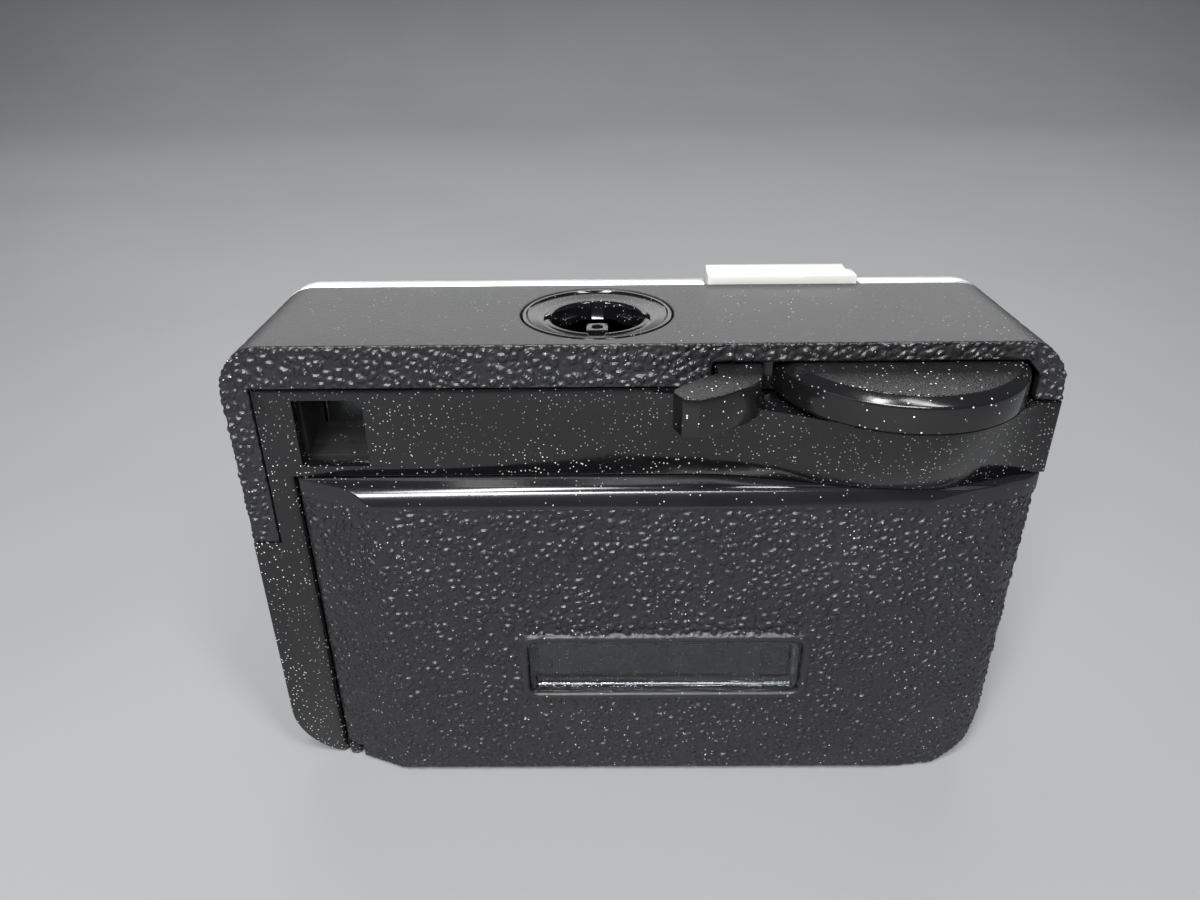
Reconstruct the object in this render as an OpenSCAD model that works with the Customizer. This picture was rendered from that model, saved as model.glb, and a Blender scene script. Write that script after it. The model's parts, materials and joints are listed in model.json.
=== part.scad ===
// Cartridge snapshot camera with a rotating flash cube socket.
// Back faces +Y, lens faces -Y, +Z up. Origin: bottom centre of the whole camera.

/* [Body] */
// Width of the body
body_w = 108; // [107:0.5:110]
// Height of the body
body_h = 69.5; // [69.5:0.5:72]
// Radius of the body's top corners
top_corner_r = 6.2; // [5:0.1:7]
// Radius of the body's bottom corners
foot_corner_r = 9; // [7:0.5:10]
// Wall thickness of the moulded shell
shell_t = 1.8; // [1.6:0.1:2]

/* [Lens] */
// Lens axis, across the body
lens_x = -3.5; // [-4:0.5:-3]
// Lens axis, above the base
lens_z = 22.5; // [22:0.5:23]
// Radius of the lens barrel at its base
barrel_r = 16.5; // [16:0.25:17.5]

/* [Back door] */
// Height of the door's top edge
door_top_z = 50.7; // [50.2:0.1:50.8]
// How far the door's panel stands behind the body
door_bulge = 4; // [3.5:0.1:4.5]
// Width of the cartridge window in the door
window_w = 39.5; // [36:0.5:41]
// Height of the cartridge window
window_h = 9.5; // [8.5:0.5:10]

/* [Winding] */
// Radius of the wind lever's disc
disc_r = 16.4; // [15.5:0.1:16.6]
// Height of the disc's top face
disc_top_z = 66.7; // [66.3:0.1:66.8]

/* [Flash socket] */
// Radius of the bore that takes the flash cube's foot
socket_bore_r = 6.3; // [6:0.05:6.4]
// Outer radius of the dished socket ring
socket_ring_r = 10.2; // [10:0.1:10.3]

/* [Release] */
// Width of the release plate
release_w = 22.2; // [20:0.2:22.4]
// How far the release plate stands above the front plate
release_rise = 1.1; // [0.8:0.1:1.5]

/* [Hidden] */
$fn = 64;

// Planes across the depth
band_y = 16.1;
strip_y = band_y - 0.3;
seat_y = -8.9;
front_y = -12;
lens_front_y = -27;
bay_back_y = 14;
front_wall_y = -7.6;
cavity_front_y = -6.4;

// Planes up the height
band_low_z = 63.7;
notch_top_z = 67;
flange_low_z = 40.5;
ledge_z = 61.3;
deck_low_z = 42.8;
deck_top_z = 45;
floor_z = 2.2;
plate_z = 58.4;

half_w = body_w / 2;
gap = 0.2;

// Door hinge and door outline
hinge_x = 45;
hinge_y = 15.1;
nose_r = 1.15;
hinge_pin_r = 0.6;
pillar_x = 46.35;
door_y = band_y + door_bulge;
door_low_z = 0.5;
door_side_x = -53.6;
door_wrap_y = 8.3;
door_t = 1.6;

// Wind axis and gear train: all gears have module 0.5
wind_x = -33.6;
wind_y = 10.6;
gear_module = 0.5;
wind_teeth = 14;
socket_teeth = 16;
wind_pitch_r = gear_module * wind_teeth / 2;
socket_pitch_r = gear_module * socket_teeth / 2;
takeup_y = wind_y - 2 * wind_pitch_r;
rack_z = 55.2;
rack_h = 1.8;
bay_top_z = ledge_z - 0.8;
wall_y = 12.6;
gear_low_z = 52.2;

// Flash socket, finder, release and gate
socket_x = 5.6;
socket_y = 3.5;
striker_r = 0.7;
finder_x0 = 36;
finder_x1 = 45;
finder_z0 = 52.5;
finder_z1 = 62;
release_x1 = -10.8;
release_x0 = release_x1 - release_w;
release_back_y = -9.1;
release_low_z = 54;

// Pivot of the shutter blade
blade_x = lens_x + 6;
blade_z = lens_z + 6.5;

// Tripod bush, pawl and feeler
bush_y = -1;
bush_r = 4;
bush_bore_r = 2.6;
bush_top_z = 6.2;
pawl_x = -24;
pawl_y = 0.6;
feeler_x = 9.6;
feeler_y = 1.2;
// Ends of the light box, and where the film gate plate starts
gate_x0 = -19;
gate_x1 = 12;
gate_front_y = 10.8;

// Places of the posts that carry the mechanism plate, and of the front plate's screws
POSTS = [[-46, -3], [-46, 11.5], [-12, -3], [28, -3], [28, 11.5]];
SCREWS = [-44, 44];
screw_z = 8;

gate_half = 14;
shell_black = [0.07, 0.07, 0.075];
gloss_black = [0.04, 0.04, 0.045];
silver = [0.8, 0.8, 0.78];
steel = [0.6, 0.61, 0.63];
brass = [0.72, 0.6, 0.3];

// ---- helpers ----

// Extrude a 2D shape drawn in X and Z between two Y planes
module extrude_y(y0, y1) {
    translate([0, y1, 0]) rotate([90, 0, 0]) linear_extrude(y1 - y0) children();
}

// Extrude a 2D shape drawn in Y and Z between two X planes
module extrude_x(x0, x1) {
    translate([x0, 0, 0]) rotate([90, 0, 90]) linear_extrude(x1 - x0) children();
}

// Extrude a plan outline between two heights
module extrude_z(z0, z1) {
    translate([0, 0, z0]) linear_extrude(z1 - z0) children();
}

// A box from its two corners
module box(low, high) {
    translate(low) cube(high - low);
}

// A cylinder along Y between two planes, at a place in X and Z
module rod_y(x, z, y0, y1, r) {
    translate([x, y1, z]) rotate([90, 0, 0]) cylinder(h = y1 - y0, r = r);
}

// A cylinder along Z between two heights
module rod_z(x, y, z0, z1, r) {
    translate([x, y, z0]) cylinder(h = z1 - z0, r = r);
}

// Rectangle with round corners, from its two corners
module round_rect(x0, z0, x1, z1, r) {
    translate([x0 + r, z0]) square([x1 - x0 - 2 * r, z1 - z0]);
    translate([x0, z0 + r]) square([x1 - x0, z1 - z0 - 2 * r]);
    for (x = [x0 + r, x1 - r], z = [z0 + r, z1 - r]) translate([x, z]) circle(r);
}

// Outline of the body from behind, moved inwards by a distance
module body_outline(inset) {
    top_r = top_corner_r - inset / 2;
    foot_r = foot_corner_r - inset / 2;
    x = half_w - inset;
    z1 = body_h - inset;
    translate([-x, inset + foot_r]) square([2 * x, z1 - inset - foot_r - top_r]);
    translate([-x + top_r, z1 - top_r]) square([2 * x - 2 * top_r, top_r]);
    translate([-x + foot_r, inset]) square([2 * x - 2 * foot_r, foot_r]);
    for (side = [-1, 1]) {
        translate([side * (x - top_r), z1 - top_r]) circle(top_r);
        translate([side * (x - foot_r), inset + foot_r]) circle(foot_r);
    }
}

// Spur gear with straight-sided teeth; a tooth is centred on the +X axis
module gear(teeth, height, bore_r) {
    pitch_r = gear_module * teeth / 2;
    root_r = pitch_r - 1.25 * gear_module;
    tip_r = pitch_r + 0.9 * gear_module;
    difference() {
        linear_extrude(height) {
            circle(root_r);
            for (i = [0:teeth - 1]) rotate(i * 360 / teeth)
                polygon([[root_r - 0.3, -0.42], [pitch_r, -0.33], [tip_r, -0.14],
                         [tip_r, 0.14], [pitch_r, 0.33], [root_r - 0.3, 0.42]]);
        }
        translate([0, 0, -1]) cylinder(h = height + 2, r = bore_r);
    }
}

// Coil of round wire along +Z, swept by a list of rings
module coil(coil_r, wire_r, length, turns, steps = 14, sides = 6) {
    rings = turns * steps;
    points = [for (i = [0:rings], j = [0:sides - 1])
        let (a = 360 * i / steps, b = 360 * j / sides, r = coil_r + wire_r * cos(b))
        [r * cos(a), r * sin(a), wire_r + (length - 2 * wire_r) * i / rings + wire_r * sin(b)]];
    skin = [for (i = [0:rings - 1], j = [0:sides - 1])
        let (k = (j + 1) % sides)
        [i * sides + j, i * sides + k, (i + 1) * sides + k, (i + 1) * sides + j]];
    first = [for (j = [sides - 1:-1:0]) j];
    last = [for (j = [0:sides - 1]) rings * sides + j];
    polyhedron(points, concat([first], skin, [last]));
}

// ---- casing ----

// Notch in the shell's back band that the wind lever and its disc come out of
module wind_notch() {
    extrude_y(12, band_y + 1)
        polygon([[-8.85, 55], [-8.85, notch_top_z], [-48.6, notch_top_z], [-50.3, 65],
                 [-50.3, 55]]);
}

module top_shell() color(shell_black) {
    difference() {
        extrude_y(seat_y, band_y) body_outline(0);
        extrude_y(seat_y - 1, band_y - shell_t) body_outline(shell_t);
        // below the side skirts
        box([-half_w - 1, seat_y - 1, -1], [0, band_y + 1, ledge_z + gap]);
        box([-1, seat_y - 1, -1], [half_w + 1, band_y + 1, flange_low_z]);
        // below the band, between the side flanges
        box([-50.3, 10, 30], [50.2, band_y + 1, band_low_z]);
        wind_notch();
        rod_z(socket_x, socket_y, body_h - 4, body_h + 1, socket_ring_r + 0.25);
    }
    // screw bosses under the roof
    for (x = [-46, 28]) difference() {
        rod_z(x, -4, plate_z + 3.4, body_h - shell_t + 0.2, 2.2);
        rod_z(x, -4, plate_z + 3, body_h - shell_t - 1, 0.8);
    }
}

// How far the frame stands out under the wind disc, for a place across the back
function wind_swell(x) = let (t = x > -36 ? (-x - 7) / 29 : (x + 54) / 18) t * t * (3 - 2 * t);

// Swelling of the rear frame under the wind disc, tapered towards the door
module swell() {
    translate([0, strip_y, ledge_z]) mirror([0, 0, 1])
        linear_extrude(ledge_z - door_top_z - gap, scale = [1, 0.47], slices = 1)
            polygon(concat([for (i = [0:40]) let (x = -54 + 47 * i / 40) [x, 9.4 * wind_swell(x)]],
                           [[-7, -1.2], [-54, -1.2]]));
}

// The frame as a whole; it is moulded in two parts that meet behind the mechanism bay
module whole_frame() {
    difference() {
        union() {
            difference() {
                extrude_y(seat_y, strip_y) body_outline(0);
                // room for the shell: everything above, and its side skirts
                box([-half_w - 1, seat_y - 1, band_low_z - gap], [half_w + 1, 30, 80]);
                box([-half_w - 1, seat_y - 1, ledge_z], [-8.6, 30, 80]);
                box([-half_w - 1, seat_y - 1, ledge_z], [half_w + 1, bay_back_y, 80]);
                box([half_w - shell_t - gap, seat_y - 1, flange_low_z - gap], [60, 30, 80]);
                box([50, bay_back_y, flange_low_z - gap], [60, 30, 80]);
                // recess for the bulkhead
                extrude_y(seat_y - 1, cavity_front_y) body_outline(2.6);
                // mechanism bay, and the part of it that is open upwards
                box([-49.5, seat_y - 1, deck_low_z - 1], [49.5, bay_back_y, bay_top_z]);
                box([-8, seat_y - 1, deck_top_z], [49.5, bay_back_y, 80]);
                // cartridge space and the door's opening
                box([-50, cavity_front_y - 0.1, floor_z], [pillar_x, 30, deck_low_z]);
                box([-half_w - 1, bay_back_y - gap, -1], [pillar_x, 30, door_top_z + gap]);
                // recess for the door's side wall
                box([-half_w - 1, door_wrap_y - 0.3, -1], [-51.8, 30, door_top_z + gap]);
                // clearance chamfer beside the door's nose
                translate([pillar_x, strip_y, -1]) rotate([0, 0, 45])
                    translate([-0.42, -0.42, 0]) cube([0.84, 0.84, door_top_z + gap + 1]);
            }
            swell();
            // hinge ear at the foot
            intersection() {
                union() {
                    rod_z(hinge_x, hinge_y, 0, floor_z, nose_r);
                    box([hinge_x - nose_r, 12, 0], [pillar_x + 0.5, hinge_y, floor_z]);
                }
                extrude_y(0, 20) body_outline(0);
            }
            // hinge boss over the door
            box([hinge_x - 2, bay_back_y, door_top_z + gap], [hinge_x + 3, strip_y, finder_z0 - 0.1]);
        }
        // eyepiece window
        box([finder_x0, 10, finder_z0], [finder_x1, 20, finder_z1]);
        // hole of the wind shaft, and room for its pinion
        rod_z(wind_x, wind_y, ledge_z - 3, ledge_z + 1, 4.5);
        rod_z(wind_x, wind_y, gear_low_z - gap, plate_z, 4.3);
        // hinge pin holes
        rod_z(hinge_x, hinge_y, -1, floor_z + 1, hinge_pin_r);
        rod_z(hinge_x, hinge_y, door_top_z, finder_z0 - 0.4, hinge_pin_r);
        rod_z(lens_x, bush_y, -1, floor_z + 1, bush_r);
        // recess for the latch in the side wall
        box([-half_w - 1, -2.6, 17.7], [-52.4, door_wrap_y, 30.3]);
        box([-53, -2.6, 21.5], [-50.6, door_wrap_y + 1, 26.5]);
    }
}

// Where the rear frame is: behind the bay, and the ledge over it
module rear_frame_space() {
    box([-60, bay_back_y, -1], [60, 40, 80]);
    box([-60, seat_y - 1, bay_top_z], [60, 40, 80]);
}

// Strip, hinge pillar, swelling and ledge
module rear_frame() color(gloss_black) intersection() {
    whole_frame();
    rear_frame_space();
}

// Floor and side walls
module body_frame() color(gloss_black) difference() {
    whole_frame();
    rear_frame_space();
}

// Inner front wall that carries the lens and the front plate
module front_bulkhead() color(shell_black) {
    difference() {
        union() {
            intersection() {
                extrude_y(front_wall_y, cavity_front_y) body_outline(2.7);
                box([-60, -20, 0], [60, 0, ledge_z - gap]);
            }
            for (x = SCREWS) rod_y(x, screw_z, seat_y, front_wall_y + 0.1, 2.2);
        }
        rod_y(lens_x, lens_z, seat_y - 1, 0, barrel_r - 1.3);
        for (x = SCREWS) rod_y(x, screw_z, seat_y - 1, 0, 0.9);
        // window for the release rod
        box([-25, seat_y - 1, 48.5], [-19, 0, 57]);
        // the finder tube passes through
        box([finder_x0 - 1.6, seat_y - 1, finder_z0 - 1.2], [finder_x1 + 1.6, 0, 80]);
    }
}

// Floor and back wall of the mechanism bay, with the posts that carry its plate
module mechanism_deck() color(shell_black) {
    difference() {
        union() {
            box([-49.4, cavity_front_y + 0.1, deck_low_z + 0.05], [49.4, 13.7, deck_top_z]);
            box([-49.4, wall_y, deck_top_z - 0.1], [hinge_x - 2.2, 13.7, door_top_z + 1.2]);
            for (p = POSTS) rod_z(p[0], p[1], deck_top_z - 0.1, plate_z, 2);
            // posts that the pawl and the feeler turn on
            rod_z(pawl_x, pawl_y, deck_top_z - 0.1, 48, 0.7);
            rod_z(feeler_x, feeler_y, deck_top_z - 0.1, 46.6, 0.8);
        }
        for (p = POSTS) rod_z(p[0], p[1], plate_z - 6, plate_z + 1, 0.8);
        // shaft holes and the slot for the feeler
        rod_z(wind_x, wind_y, deck_low_z - 1, deck_top_z + 1, 1.55);
        rod_z(wind_x, takeup_y, deck_low_z - 1, deck_top_z + 1, 2.05);
        box([4, 9.9, deck_low_z - 1], [13.2, 12.5, deck_top_z + 1]);
    }
}

// One pocket of the cartridge space: a tray that is open towards the door
module cartridge_pocket(x0, x1) {
    difference() {
        box([x0, cavity_front_y + 0.1, floor_z], [x1, 12, deck_low_z]);
        box([x0 + 1, -5.3, floor_z + 0.9], [x1 - 1, 13, deck_low_z - 0.9]);
    }
}

module take_up_chamber() color(shell_black) {
    difference() {
        cartridge_pocket(-46, -19.05);
        rod_z(wind_x, takeup_y, deck_low_z - 2, deck_low_z + 1, 2.2);
        rod_z(wind_x, wind_y, deck_low_z - 2, deck_low_z + 1, 1.7);
    }
}

module supply_chamber() color(shell_black) cartridge_pocket(12.05, 39);

// Slot that the feeler's claw swings in, from a low Z upwards
module claw_slot(z0) box([4, 9.9, z0], [gate_x1 - 0.9, 12.5, deck_top_z + 1]);

// Middle of the cartridge space: the light chamber, which the front bulkhead closes
module light_box() color(shell_black) difference() {
    box([gate_x0, cavity_front_y + 0.1, floor_z], [gate_x1, gate_front_y, deck_low_z]);
    box([gate_x0 + 0.9, cavity_front_y - 1, 7.4], [gate_x1 - 0.9, gate_front_y + 1, 37.6]);
    // tripod bush
    rod_z(lens_x, bush_y, floor_z - 1, bush_top_z + 0.2, bush_r + 0.4);
    claw_slot(38.2);
}

// Plate with the film gate, and the rails that the film slides on
module film_gate_frame() color(shell_black) {
    difference() {
        box([gate_x0, gate_front_y, floor_z], [gate_x1, 12, deck_low_z]);
        extrude_y(gate_front_y - 1, 13)
            translate([lens_x - gate_half, lens_z - gate_half]) square(2 * gate_half);
        claw_slot(38.2);
    }
    for (z = [lens_z - gate_half - 2.4, lens_z + gate_half + 1.2])
        box([gate_x0, 11.9, z], [gate_x1, 12.3, z + 1.2]);
}

// ---- front ----

// Window in the front plate that the release slides in
module release_window(side_gap) {
    box([release_x0 - side_gap, -20, release_low_z - 2.7], [release_x1 + side_gap, 0, 80]);
}

module front_plate() color(silver) {
    difference() {
        extrude_y(front_y, seat_y) body_outline(0);
        // shallow field for the textured inlay
        extrude_y(front_y - 1, front_y + 0.5) round_rect(-49, 5, 49, 46, 4);
        rod_y(lens_x, lens_z, -20, 0, barrel_r - 1.2);
        // finder window
        extrude_y(-20, 0) round_rect(33, 50.8, 48, 63.6, 1.5);
        release_window(0.25);
        for (x = SCREWS) rod_y(x, screw_z, -20, 0, 1.1);
        // drain of the edge: a step all round the back
        difference() {
            extrude_y(seat_y - 0.5, seat_y + 1) body_outline(-1);
            extrude_y(seat_y - 1, seat_y + 2) body_outline(0.25);
        }
    }
}

module front_inlay() color(shell_black) {
    difference() {
        extrude_y(front_y - 0.2, front_y + 0.5) round_rect(-48.8, 5.2, 48.8, 45.8, 3.8);
        rod_y(lens_x, lens_z, -20, 0, barrel_r + 0.1);
        for (x = SCREWS) rod_y(x, screw_z, -20, 0, 1.9);
    }
}

module lens_barrel() color(gloss_black) difference() {
    translate([lens_x, 0, lens_z]) rotate([90, 0, 0]) rotate_extrude($fn = 96) polygon([
        [barrel_r - 1.4, -cavity_front_y + 0.2], [barrel_r - 1.4, -front_y],
        [barrel_r, -front_y], [barrel_r, 18.6], [barrel_r - 0.8, 19.4],
        [14.2, 19.4], [13.4, 26.4], [12.8, -lens_front_y], [11.6, -lens_front_y],
        [11.4, 25.4], [7.6, 23.4], [7.6, 21.2], [5.2, 21.2], [5.2, 19.6], [12.2, 19.6],
        [12.2, 12.6], [13.6, 12.6], [13.6, -cavity_front_y + 0.2]]);
    // slot for the release rod's finger
    box([lens_x - 3.2, -9, lens_z + 8], [lens_x + 0.6, -5, lens_z + 18]);
}

module lens_trim_ring() color(silver) {
    translate([lens_x, 0, lens_z]) rotate([90, 0, 0]) rotate_extrude($fn = 96)
        polygon([[14.45, 19.4], [16, 19.4], [16.1, 19.9], [15.6, 20.5], [14.4, 20.9]]);
}

// Front element, thicker at its centre
module front_lens() color([0.7, 0.8, 0.9, 0.4]) {
    translate([lens_x, 0, lens_z]) rotate([90, 0, 0]) intersection() {
        rod_z(0, 0, 21.3, 23.6, 7.5);
        translate([0, 0, 23.6 - 26]) sphere(26, $fn = 96);
    }
}

module lens_retainer() color(gloss_black) {
    translate([lens_x, 0, lens_z]) rotate([90, 0, 0]) rotate_extrude($fn = 96)
        polygon([[5.9, 23.45], [7.5, 23.45], [10.9, 25.3], [10.2, 25.3], [7, 23.9], [5.9, 23.9]]);
}

module aperture_plate() color(shell_black) {
    difference() {
        rod_y(lens_x, lens_z, -19.5, -19, 12.1);
        rod_y(lens_x, lens_z, -21, -18, 2);
    }
}

module shutter_plate() color(steel) {
    difference() {
        rod_y(lens_x, lens_z, -11.4, -10.8, 13.5);
        rod_y(lens_x, lens_z, -12, -10, 2.4);
    }
    // post that the blade turns on
    rod_y(blade_x, blade_z, -10.9, -9.3, 0.7);
}

module shutter_blade() color([0.15, 0.15, 0.16]) {
    difference() {
        extrude_y(-10.4, -10) {
            translate([lens_x, lens_z]) circle(5);
            translate([blade_x, blade_z]) circle(1.7);
            polygon([[lens_x + 4.4, lens_z + 2], [lens_x + 7, lens_z + 5.2],
                     [lens_x + 4.6, lens_z + 7.3], [lens_x + 2, lens_z + 4.4]]);
        }
        rod_y(blade_x, blade_z, -12, -9, 0.78);
    }
}

module release_plate() color([0.88, 0.88, 0.85]) {
    top = body_h + release_rise;
    difference() {
        union() {
            box([release_x0, release_back_y - 3.6, release_low_z], [release_x1, release_back_y, top]);
            // lip along the front edge
            box([release_x0 + 1.2, release_back_y - 5, release_low_z - 3.4],
                [release_x1, release_back_y - 3.5, top + 0.4]);
            // stem that reaches the rod
            box([-23, release_back_y - 0.5, 54.2], [-21, -7.9, 56]);
        }
        // sloped end on the outer side
        translate([release_x0, 0, top - 1.6]) rotate([0, -38, 0])
            translate([-6, -30, 0]) cube([6, 30, 8]);
        // hollow behind the face
        box([release_x0 + 1.4, release_back_y - 2.4, 53], [-24, release_back_y + 1, top - 1.6]);
        box([-20, release_back_y - 2.4, 53], [release_x1 - 1.4, release_back_y + 1, top - 1.6]);
    }
}

// Sheet-metal rod between the release and the shutter
module release_rod() color(steel) {
    box([-24.4, -8.4, 54.2], [-23.05, -7.7, 56]);
    box([-20.95, -8.4, 54.2], [-19.6, -7.7, 56]);
    box([-24.4, -8.4, 41], [-19.6, -7.7, 54.2]);
    // finger that reaches into the shutter
    box([-20, -8.4, 41], [lens_x, -7.7, 43.6]);
    box([lens_x - 2.6, -8.4, 35], [lens_x, -7.7, 41.2]);
    // tab that rests on the return spring
    box([-24.4, -7.8, 52.2], [-19.6, -2.6, 53]);
}

module release_spring() color(steel) {
    translate([-22, -4.4, deck_top_z + 0.02]) coil(1.3, 0.2, 52.16 - deck_top_z, 5);
}

// ---- winding train ----

module wind_lever() color(gloss_black) {
    difference() {
        union() {
            translate([wind_x, wind_y, 0]) rotate_extrude($fn = 128) polygon([
                [0, ledge_z + 0.7], [disc_r - 0.2, ledge_z + 0.7], [disc_r, ledge_z + 0.9],
                [disc_r, disc_top_z - 1], [disc_r - 1.3, disc_top_z], [0, disc_top_z]]);
            // arm that leaves the shell beside the disc, and its thumb piece
            extrude_z(ledge_z + 0.35, disc_top_z - 0.1) polygon([
                [-15, 16.9], [-15.6, 12.5], [-20, 12], [-20, 5.5], [-14, 7], [-10.6, 10.5],
                [-9.4, 14], [-9.3, 18.1], [-6.5, 20.3], [-4.7, 21.8], [-3.5, 23.2],
                [-3.6, 24.1], [-4.4, 26], [-6.4, 26.3], [-9.1, 25.2], [-13, 22.3],
                [-14.3, 20.7], [-14.8, 19.2]]);
            // shaft
            rod_z(wind_x, wind_y, gear_low_z, ledge_z + 1, 2.5);
            rod_z(wind_x, wind_y, 43.2, gear_low_z + 0.1, 1.5);
        }
        // the disc is hollow underneath
        translate([wind_x, wind_y, 0]) difference() {
            rod_z(0, 0, ledge_z, disc_top_z - 1.8, disc_r - 2);
            rod_z(0, 0, ledge_z - 1, disc_top_z, 4.2);
            box([0, -4, ledge_z - 1], [disc_r, 3, disc_top_z]);
        }
    }
}

module wind_pinion() color(brass) {
    translate([wind_x, wind_y, gear_low_z])
        gear(wind_teeth, rack_z + rack_h + 0.6 - gear_low_z, 2.5);
}

// Return spring of the wind lever, around its shaft
module wind_spring() color(steel) {
    translate([wind_x, wind_y, plate_z + 1.0]) coil(3.4, 0.25, 1.9, 3);
}

module takeup_gear() color(brass) {
    translate([wind_x, takeup_y, gear_low_z + 0.2]) rotate(90) gear(wind_teeth, 2.4, 2);
}

// Shaft with the three-pronged dog that drives the cartridge's spool
module takeup_fork() color(gloss_black) {
    rod_z(wind_x, takeup_y, 39.6, rack_z - 0.25, 1.99);
    rod_z(wind_x, takeup_y, 40, deck_low_z - 1, 4);
    for (a = [0, 120, 240]) translate([wind_x, takeup_y, 0]) rotate(a)
        box([2.2, -0.7, 36.5], [3.8, 0.7, 40.5]);
}

module ratchet_wheel() color(steel) {
    teeth = 14;
    translate([wind_x, takeup_y, 46.2]) difference() {
        linear_extrude(1.2) {
            circle(3.4);
            for (i = [0:teeth - 1]) rotate(i * 360 / teeth)
                polygon([[3.1, -0.7], [4.2, 0], [3.1, 0.1]]);
        }
        translate([0, 0, -1]) cylinder(h = 4, r = 2);
    }
}

// Pawl that stops the take-up from turning back
module ratchet_pawl() color(steel) {
    difference() {
        extrude_z(46.3, 47.3) {
            translate([pawl_x, pawl_y]) circle(1.5);
            polygon([[-24.9, 1.7], [-29.1, 2.8], [-29.2, 2], [-24.9, -0.5]]);
        }
        rod_z(pawl_x, pawl_y, 46, 48, 0.78);
    }
}

// Toothed slide that carries the wind lever's motion to the flash socket
module index_slide() color(shell_black) {
    pitch = PI * gear_module;
    hub_line_y = wind_y - wind_pitch_r;
    cube_line_y = socket_y + socket_pitch_r;
    z1 = rack_z + rack_h;
    box([-42, hub_line_y - 3, rack_z], [-18, hub_line_y - 0.62, z1]);
    box([-20, hub_line_y - 3, rack_z], [-16, cube_line_y + 3, z1]);
    box([-20, cube_line_y + 0.62, rack_z], [12, cube_line_y + 3, z1]);
    extrude_z(rack_z, z1) {
        for (i = [-5:1]) translate([wind_x + i * pitch, hub_line_y])
            polygon([[-0.62, -0.7], [-0.33, 0], [-0.14, 0.42], [0.14, 0.42], [0.33, 0],
                     [0.62, -0.7]]);
        for (i = [-5:1]) translate([socket_x + (i + 0.5) * pitch, cube_line_y])
            polygon([[-0.62, 0.7], [-0.33, 0], [-0.14, -0.42], [0.14, -0.42], [0.33, 0],
                     [0.62, 0.7]]);
    }
}

// ---- flash socket ----

module flash_socket() color(gloss_black) {
    translate([socket_x, socket_y, 0]) difference() {
        rotate_extrude($fn = 96) polygon([
            [socket_bore_r, 60.2], [7.9, 60.2], [7.9, 66], [socket_ring_r, 66.4],
            [socket_ring_r, body_h], [socket_ring_r - 0.7, body_h],
            [socket_bore_r + 0.7, body_h - 1.1], [socket_bore_r, body_h - 1.6]]);
        // four bayonet notches
        for (a = [0:90:270]) rotate(a) box([6, -1.1, 64], [7.3, 1.1, body_h + 1]);
    }
    // carrier below, with the pinion's spigot
    difference() {
        rod_z(socket_x, socket_y, 59.6, 60.4, 7.9);
        rod_z(socket_x, socket_y, 59, 61, 2.5);
    }
    difference() {
        rod_z(socket_x, socket_y, 57.2, 59.7, 3);
        rod_z(socket_x, socket_y, 57, 60, 2.1);
    }
}

module socket_pinion() color(brass) {
    translate([socket_x, socket_y, rack_z - 0.4])
        rotate(90) gear(socket_teeth, 2.4, 2.1);
}

// Fixed post in the middle of the socket, on a stem through the pinion
module socket_post() color(gloss_black) {
    difference() {
        union() {
            rod_z(socket_x, socket_y, deck_top_z, 61.2, 1.5);
            box([socket_x - 1.5, socket_y - 1.5, 61], [socket_x + 1.5, socket_y + 1.5, 67.4]);
        }
        rod_z(socket_x, socket_y, deck_top_z + 0.6, 70, striker_r + 0.06);
    }
}

// Pin that fires the cube, inside the post
module flash_striker() color(steel) {
    rod_z(socket_x, socket_y, deck_top_z + 0.8, 66.6, striker_r);
}

module mechanism_plate() color(steel) {
    difference() {
        box([-48.5, -5.2, plate_z], [30.5, 13.4, plate_z + 0.8]);
        rod_z(wind_x, wind_y, plate_z - 1, plate_z + 2, 2.55);
        rod_z(socket_x, socket_y, plate_z - 1, plate_z + 2, 3.05);
        for (p = POSTS) rod_z(p[0], p[1], plate_z - 1, plate_z + 2, 1.0);
        box([-26, -6, plate_z - 1], [-18, -3.8, plate_z + 2]);
    }
}

// Claw that feels the film's perforation
module film_feeler() color(steel) {
    difference() {
        union() {
            extrude_z(deck_top_z + 0.3, deck_top_z + 1.1) {
                translate([feeler_x, feeler_y]) circle(2);
                polygon([[8.6, 2.6], [7.4, 11.7], [9.2, 11.7], [11, 2.6]]);
            }
            box([7.4, 10.8, 38.6], [9.2, 11.7, deck_top_z + 0.6]);
        }
        rod_z(feeler_x, feeler_y, deck_top_z, deck_top_z + 2, 0.88);
    }
}

// ---- back door ----

// Plan of the door: a flank that slopes to the hinge, and a side that wraps the body
module door_plan() {
    translate([hinge_x, hinge_y]) circle(nose_r);
    polygon([[hinge_x, hinge_y - nose_r], [hinge_x + 0.42, hinge_y + nose_r - 0.08],
             [hinge_x - 9.6, door_y], [-36, door_y], [-46.5, door_y - 1.3],
             [-51.5, band_y + 0.9], [door_side_x, band_y - 0.7], [door_side_x, door_wrap_y],
             [door_side_x + door_t, door_wrap_y], [door_side_x + door_t, bay_back_y + 0.3]]);
}

// Plan of the hollow inside the door, open towards the film
module door_hollow_plan() {
    back = door_y - door_t;
    polygon([[hinge_x - 4, bay_back_y - 2], [hinge_x - 4, hinge_y + 1], [hinge_x - 9.8, back],
             [-36, back], [-46.2, back - 1.2], [-50.8, band_y - 0.6],
             [door_side_x + door_t, band_y - 2], [door_side_x + door_t, bay_back_y - 2]]);
}

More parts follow.
